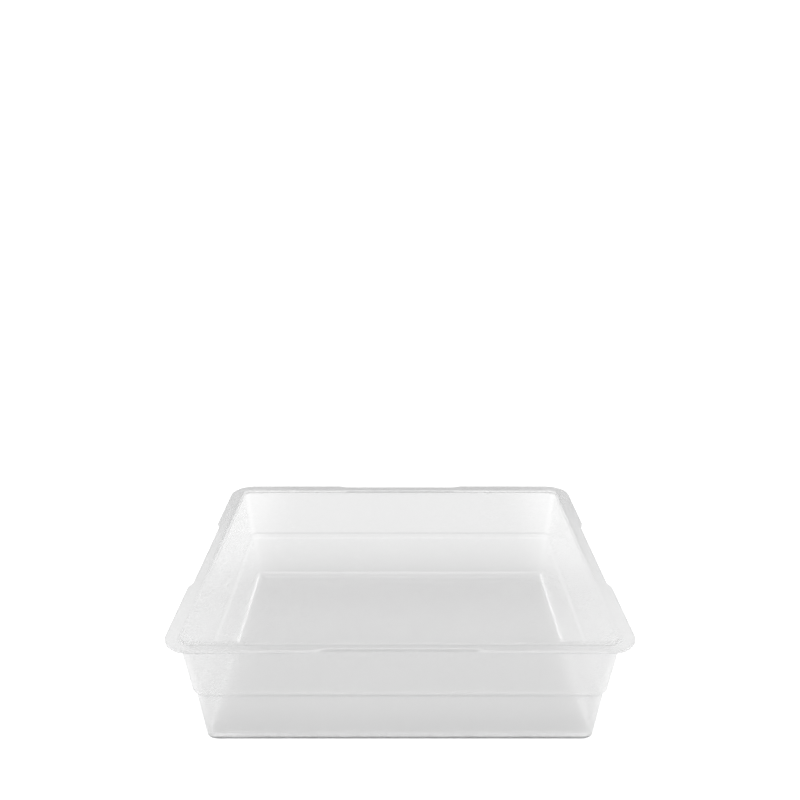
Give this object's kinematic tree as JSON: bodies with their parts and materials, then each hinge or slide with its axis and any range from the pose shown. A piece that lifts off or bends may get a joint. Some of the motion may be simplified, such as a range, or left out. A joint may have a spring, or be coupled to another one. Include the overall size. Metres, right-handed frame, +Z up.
{
  "type": "ice tub",
  "caption": "Rectangular clear plastic ice tub with drafted, stepped walls, rounded corners, a plain flat base and a flat rim drawn back in a shallow notch at the middle of each side.",
  "frame": {"origin": "middle of the base, on the surface that the tub stands on", "axes": "+X along the long side, +Y towards the back as pictured, +Z up out of the open mouth"},
  "size_m": [0.354, 0.325, 0.095],
  "materials": {
    "tub": "clear, slightly hazy moulded plastic"
  },
  "bodies": {
    "root": {"tub": "tub"}
  },
  "joints": []
}
